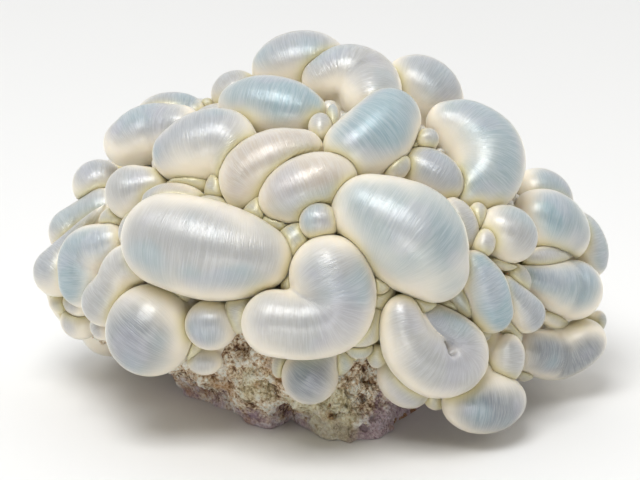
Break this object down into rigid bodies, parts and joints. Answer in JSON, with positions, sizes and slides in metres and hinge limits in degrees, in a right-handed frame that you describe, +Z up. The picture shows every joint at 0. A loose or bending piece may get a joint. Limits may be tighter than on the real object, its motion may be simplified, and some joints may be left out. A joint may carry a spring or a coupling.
{
  "type": "bubble coral",
  "caption": "Bubble coral colony: a dome of crowded pearly bubbles, round, oval and curled, on a pitted lump of reef rock that is cut flat to stand on.",
  "frame": {"origin": "middle of the colony's box on the flat cut under the rock, z = 0 on the surface that it stands on", "axes": "+X along the colony's width, to the right as seen from the front, +Y to the back, +Z up"},
  "size_m": [0.1446, 0.1164, 0.0875],
  "materials": {
    "bubble_skin": "pearly and translucent, silky gloss",
    "living_skin": "moist, olive green",
    "reef_rock": "rough, pitted, crusted with mauve, olive and rust patches"
  },
  "bodies": {
    "root": {"back_far_left": "bubble_skin", "back_far_right": "bubble_skin", "back_high_left": "bubble_skin", "back_high_mid_left": "bubble_skin", "back_high_mid_right": "bubble_skin", "back_high_right": "bubble_skin", "back_left": "bubble_skin", "back_low_left": "bubble_skin", "back_low_mid_left": "bubble_skin", "back_low_mid_right": "bubble_skin", "back_low_middle": "bubble_skin", "back_low_right": "bubble_skin", "back_mid_left": "bubble_skin", "back_middle": "bubble_skin", "back_right": "bubble_skin", "back_top": "bubble_skin", "back_top_left": "bubble_skin", "back_top_right": "bubble_skin", "crown": "bubble_skin", "crown_back": "bubble_skin", "crown_left_small": "bubble_skin", "crown_right": "bubble_skin", "far_left_back": "bubble_skin", "far_left_bulb": "bubble_skin", "far_left_high": "bubble_skin", "far_left_long": "bubble_skin", "far_right_back": "bubble_skin", "far_right_bean": "bubble_skin", "far_right_pear": "bubble_skin", "front_curl": "bubble_skin", "front_left": "bubble_skin", "front_oval": "bubble_skin", "front_right": "bubble_skin", "left_bud": "bubble_skin", "left_double": "bubble_skin", "left_saddle": "bubble_skin", "living_skin": "living_skin", "low_behind_curl": "bubble_skin", "low_curl": "bubble_skin", "low_left_bud": "bubble_skin", "low_left_round": "bubble_skin", "low_left_small": "bubble_skin", "low_middle": "bubble_skin", "low_right_oval": "bubble_skin", "middle_oval": "bubble_skin", "right_curl": "bubble_skin", "right_drop": "bubble_skin", "right_high_back": "bubble_skin", "right_long": "bubble_skin", "right_nook": "bubble_skin", "right_pear": "bubble_skin", "right_round": "bubble_skin", "right_wide": "bubble_skin", "rock_base": "reef_rock", "shoulder_back": "bubble_skin", "shoulder_left": "bubble_skin", "shoulder_oval": "bubble_skin", "top_hollow": "bubble_skin", "upper_egg": "bubble_skin", "upper_mid": "bubble_skin"}
  },
  "joints": []
}
